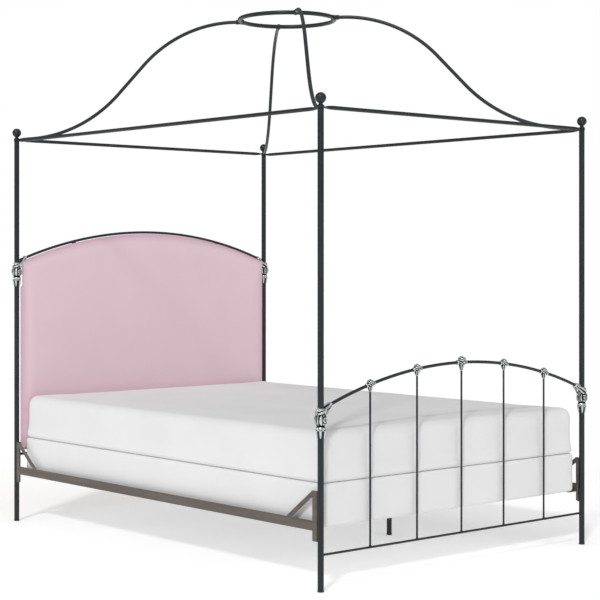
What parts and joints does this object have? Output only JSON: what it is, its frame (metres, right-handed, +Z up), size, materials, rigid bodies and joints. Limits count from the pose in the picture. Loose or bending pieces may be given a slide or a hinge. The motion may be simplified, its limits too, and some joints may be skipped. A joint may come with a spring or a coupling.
{
  "type": "four poster canopy bed",
  "caption": "Four poster canopy bed with arched iron ends, spindled footboard, padded headboard, curved canopy arms meeting at a ring, box spring and mattress.",
  "frame": {"origin": "on the floor under the middle of the bed", "axes": "+Z up, +Y towards the headboard, +X to the right as seen from the foot"},
  "size_m": [1.606, 2.175, 2.3575],
  "materials": {
    "iron": "satin",
    "pewter": "satin",
    "rail_paint": "satin",
    "zinc": "satin",
    "black_plastic": "matte",
    "panel_board": "matte",
    "pink_fabric": "matte",
    "white_ticking": "matte"
  },
  "bodies": {
    "frame": {"post_lower_foot_left": "iron", "post_lower_foot_right": "iron", "post_lower_head_left": "iron", "post_lower_head_right": "iron", "post_canopy_foot_left": "iron", "post_canopy_foot_right": "iron", "post_canopy_head_left": "iron", "post_canopy_head_right": "iron", "finial_foot_left": "iron", "finial_foot_right": "iron", "finial_head_left": "iron", "finial_head_right": "iron", "canopy_rail_left": "iron", "canopy_rail_right": "iron", "canopy_rail_foot": "iron", "canopy_rail_head": "iron", "canopy_arm_foot_left": "iron", "canopy_arm_foot_right": "iron", "canopy_arm_head_left": "iron", "canopy_arm_head_right": "iron", "canopy_ring": "iron", "head_arch_rail": "iron", "head_bottom_rail": "iron", "foot_arch_rail": "iron", "foot_bottom_rail": "iron", "spindle_1": "iron", "spindle_2": "iron", "spindle_3": "iron", "spindle_4": "iron", "spindle_5": "iron", "support_leg": "iron", "casting_foot_left": "pewter", "casting_foot_right": "pewter", "casting_head_left": "pewter", "casting_head_right": "pewter", "spindle_casting_1": "pewter", "spindle_casting_2": "pewter", "spindle_casting_3": "pewter", "spindle_casting_4": "pewter", "spindle_casting_5": "pewter", "side_rail_left": "rail_paint", "side_rail_right": "rail_paint", "cross_bar_1": "rail_paint", "cross_bar_2": "rail_paint", "cross_bar_3": "rail_paint", "rail_bolt_foot_left": "zinc", "rail_bolt_foot_right": "zinc", "rail_bolt_head_left": "zinc", "rail_bolt_head_right": "zinc", "panel_screw_left": "zinc", "panel_screw_right": "zinc", "glide_foot_left": "black_plastic", "glide_foot_right": "black_plastic", "glide_head_left": "black_plastic", "glide_head_right": "black_plastic", "headboard_board": "panel_board", "headboard_pad": "pink_fabric"},
    "box_spring": {"box_spring": "white_ticking"},
    "mattress": {"mattress": "white_ticking"},
    "leveller": {"support_leg_leveller": "black_plastic"}
  },
  "joints": [
    {"name": "box_spring_lift", "type": "slide", "parent": "frame", "child": "box_spring", "axis": [0, 0, 1], "range_m": [0, 0.3]},
    {"name": "mattress_lift", "type": "slide", "parent": "box_spring", "child": "mattress", "axis": [0, 0, 1], "range_m": [0, 0.3]},
    {"name": "leveller_screw", "type": "slide", "parent": "frame", "child": "leveller", "axis": [0, 0, -1], "range_m": [0, 0.012]}
  ]
}
